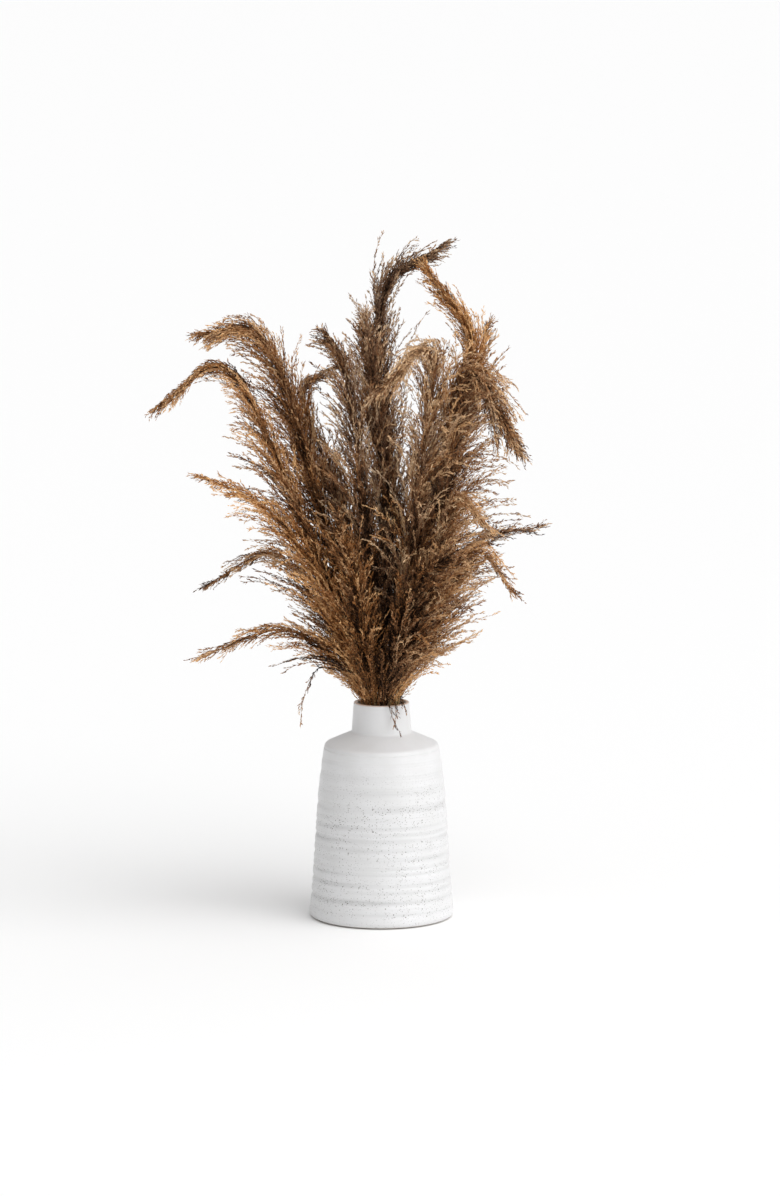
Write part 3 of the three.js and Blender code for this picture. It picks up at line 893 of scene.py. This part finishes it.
# strands that came loose in the hand: three hang over the front of the rim, one hangs down on
# the left, and a small lock of three stands out to the left above the neck
loose_strands = {
    "front_right": [
        [(3, -18, 312), (8, -34, 301), (12, -42, 286), (18, -45, 271), (26, -46, 257)],
        [(12, -20, 310), (16, -35, 300), (19, -42, 286), (19, -44, 268)],
        [(22, -18, 308), (28, -31, 300), (32, -36, 288)],
    ],
    "left_low": [
        [
            (-62, -36, 342),
            (-84, -40, 346),
            (-94, -41, 330),
            (-103, -42, 308),
            (-107, -42, 286),
            (-109, -42, 266),
        ],
    ],
    "front_left": [
        [(-36, -48, 338), (-70, -54, 357), (-112, -58, 361), (-143, -60, 351)],
        [(-40, -50, 340), (-74, -58, 355), (-112, -60, 353), (-132, -62, 342)],
        [(-44, -46, 346), (-76, -50, 362), (-106, -52, 362), (-124, -54, 356)],
    ],
}


def loose_path(places):
    """A strand through the places, in evenly spaced steps like a side branch, and its length."""
    rough = smooth_line(places)
    walked = walked_along(rough)
    even = np.linspace(0, walked[-1], branch_steps)
    return placed_at(even, walked, rough), walked[-1]


def painted_light_and_shade(places):
    """How much lighter or darker the chaff is painted at each place than its plume's own tone:
    painted light brightens the outer and upper husks, painted shade darkens those packed in the
    middle of the bunch, and the lowest, just above the rim, are made paler."""
    above_rim = places[:, 2] - vase_height
    out = np.hypot(places[:, 0], places[:, 1]) / 130
    up = (above_rim - 150) / 160
    paler_above_rim = 0.55 * np.exp(-((above_rim / 50) ** 2))
    return 0.42 * (np.clip(np.maximum(out, up), 0, 1) - 0.8) + paler_above_rim


def make_plume(name, seed):
    """One plume: its axis, its side branches, their shoots and the husks, in one mesh."""
    rng = np.random.default_rng(seed)
    warmth, tone, tufts, *shape = plume_looks[name]
    line = lines[name]
    path, reach, tuft = branch_paths(line, tufts, *shape, rng)
    path = clear_of_vase(path)
    strands = loose_strands.get(name, ())
    for places in strands:
        loose, length = loose_path(places)
        path = np.concatenate([path, loose[None]])
        reach = np.append(reach, length)
        tuft = np.append(tuft, 0)
    shoot_path, shoot_reach, branch, leaves = shoots(path, reach, rng)
    shoot_path = clear_of_vase(shoot_path)
    shade = tone + rng.normal(0, 0.15, tufts)[tuft] + rng.normal(0, 0.10, len(reach))
    red = warmth + rng.normal(0, 0.16, tufts)[tuft] + rng.normal(0, 0.08, len(reach))
    shade[len(shade) - len(strands) :] -= 0.3
    red[len(red) - len(strands) :] -= 0.4
    # Painted shade: branches, shoots and husks darken towards the feet of the branches, deep in the
    # plume, and lighten towards the tips.
    shoot_shade = shade[branch] + painted_shade_along_branch * (leaves - own_tone_at)
    shoot_shade = shoot_shade + rng.normal(0, 0.10, len(branch))

    axis_steps = np.linspace(line.plume_start, line.length, 60)
    axis_share = (axis_steps - line.plume_start) / (line.length - line.plume_start)
    step_share = np.linspace(-own_tone_at, 1 - own_tone_at, branch_steps)
    branch_shade = shade[:, None] + painted_shade_along_branch * step_share
    thin = np.ones((len(reach), 1)) * np.linspace(0.45, 0.18, branch_steps)
    shoot_thin = np.ones((len(branch), 1)) * np.linspace(0.28, 0.15, shoot_steps)
    axis_tone = 0.3
    corners, shoot_corners = 3, 3 * shoot_steps
    # each entry holds points, arrays of faces, tones and warmths
    made = [
        (
            *tubes(line.at(axis_steps)[0][None], (1.8 - 1.4 * axis_share)[None], 6),
            axis_tone,
            warmth,
        ),
        (
            *tubes(path, thin, corners),
            np.repeat(branch_shade, corners),
            np.repeat(red, corners * branch_steps),
        ),
        (
            *tubes(shoot_path, shoot_thin, corners),
            np.repeat(shoot_shade, shoot_corners),
            np.repeat(red[branch], shoot_corners),
        ),
    ]
    points, faces, owner, u = spikelets(path, reach, husks_apart_on_branch, rng)
    husk_shade = shade[owner] + painted_shade_along_branch * (u - own_tone_at)
    husk_shade = husk_shade + rng.normal(0, 0.20, len(owner))
    made.append((points, [faces], np.repeat(husk_shade, 4), np.repeat(red[owner], 4)))
    points, faces, owner, u = spikelets(shoot_path, shoot_reach, husks_apart_on_shoot, rng)
    husk_shade = shoot_shade[owner] + 0.10 * u + rng.normal(0, 0.20, len(owner))
    made.append((points, [faces], np.repeat(husk_shade, 4), np.repeat(red[branch][owner], 4)))

    first_points = np.cumsum([0] + [len(part[0]) for part in made])
    faces = [f + first for part, first in zip(made, first_points) for f in part[1]]
    tones = [np.broadcast_to(part[2], len(part[0])) for part in made]
    reds = [np.broadcast_to(part[3], len(part[0])) for part in made]
    points = np.vstack([part[0] for part in made])
    piece = mesh_piece(
        f"reed_plume_{name}",
        points * MM,
        faces,
        chaff,
        smooth=False,
        attributes={
            # the tone adds painted light and shade, by place in the bunch, to each tuft's own tone
            "tone": np.concatenate(tones) + painted_light_and_shade(points),
            "warmth": np.clip(np.concatenate(reds), 0, 1),
        },
    )
    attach(piece, "bunch")
    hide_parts(f"plume_{name}")


for number, reed_name in enumerate(reeds):
    make_plume(reed_name, 500 + number)

# ---------------------------------------------------------------------------
# Twine tie. Two-ply jute wound six times round the stems where they are narrowest, drawn tight
# and knotted, inside the vase; it shows when the bunch is lifted out.
jute = new_material("two_ply_jute_twine")
jute_place = add(jute, "TexCoord").outputs["Object"]
hairs = add(
    jute, "TexNoise", {"Vector": jute_place, "Scale": 1800.0, "Detail": 3.0, "Distortion": 1.0}
)
jute_colour = add(jute, "ValToRGB", {"Fac": hairs}, stops=[(0.3, "#7A5C33"), (0.7, "#C9A873")])
jute_hairs = add(jute, "Bump", {"Strength": 0.5, "Distance": 0.0004, "Height": hairs})
finish_material(
    jute,
    add(
        jute,
        "BsdfPrincipled",
        {"Base Color": jute_colour, "Roughness": 0.9, "Normal": jute_hairs},
    ),
)

twine_radius = 1.15
twine_sides = 14
plies = 2
lay = 7.0  # along this length the plies turn once round each other
wraps = 6
tie_outer = tie_high.x / MM
steps_to_wrap = 64
wind = np.linspace(0, wraps * 2 * np.pi, wraps * steps_to_wrap)
climb = np.linspace(tie_low.z / MM + twine_radius, tie_high.z / MM - twine_radius, len(wind))
wound = tie_outer - twine_radius - 0.1
helix = np.stack([wound * np.cos(wind), wound * np.sin(wind), climb], axis=1)


def twisted(path):
    """The twine along a path: a section with one lobe for each ply, turned once every lay."""
    way = unit(np.gradient(path, axis=0))
    outward = unit(path * [1, 1, 0])
    outward = unit(outward - np.sum(outward * way, axis=1)[:, None] * way)
    other = np.cross(way, outward)
    sides = twine_sides
    angle = np.arange(sides) * 2 * np.pi / sides
    turned_by = walked_along(path)[:, None] * 2 * np.pi / lay
    lobed = twine_radius * (0.78 + 0.22 * np.cos(plies * angle[None, :] - turned_by))
    ring = outward[:, None] * np.cos(angle)[:, None] + other[:, None] * np.sin(angle)[:, None]
    points = path[:, None] + ring * lobed[..., None]
    steps = len(path)
    this = np.arange(sides)
    following = (this + 1) % sides
    row = np.arange(steps - 1)[:, None] * sides
    above = row + sides
    quads = np.stack([row + this, row + following, above + following, above + this], axis=-1)
    caps = [this[::-1][None], ((steps - 1) * sides + this)[None]]
    return points.reshape(-1, 3), [quads.reshape(-1, 4)] + caps


# The knot: the two ends loop through each other at the front and hang down as short tails.
knot_turn = np.linspace(0.3, 2 * np.pi - 0.3, 14)
knot_loops = 1.4 * np.stack(
    [
        np.sin(knot_turn) + 2 * np.sin(2 * knot_turn),
        -0.8 * np.sin(3 * knot_turn),
        np.cos(knot_turn) - 2 * np.cos(2 * knot_turn),
    ],
    axis=1,
)
left_tail, right_tail = [[-7, -0.3, -15], [-3.5, 0.3, -6]], [[3.5, 0.3, -6], [6, -0.3, -12]]
knot_places = np.vstack([left_tail, knot_loops, right_tail])
knot_proud = 2.6
knot_path = smooth_line(knot_places + [0, -wound - knot_proud, tie_height], 6)

tie_points, tie_faces = twisted(helix)
knot_points, knot_faces = twisted(knot_path)
tie_faces += [corners + len(tie_points) for corners in knot_faces]
tie = mesh_piece("jute_tie", np.vstack([tie_points, knot_points]) * MM, tie_faces, jute)
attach(tie, "bunch")
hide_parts("twine_tie")
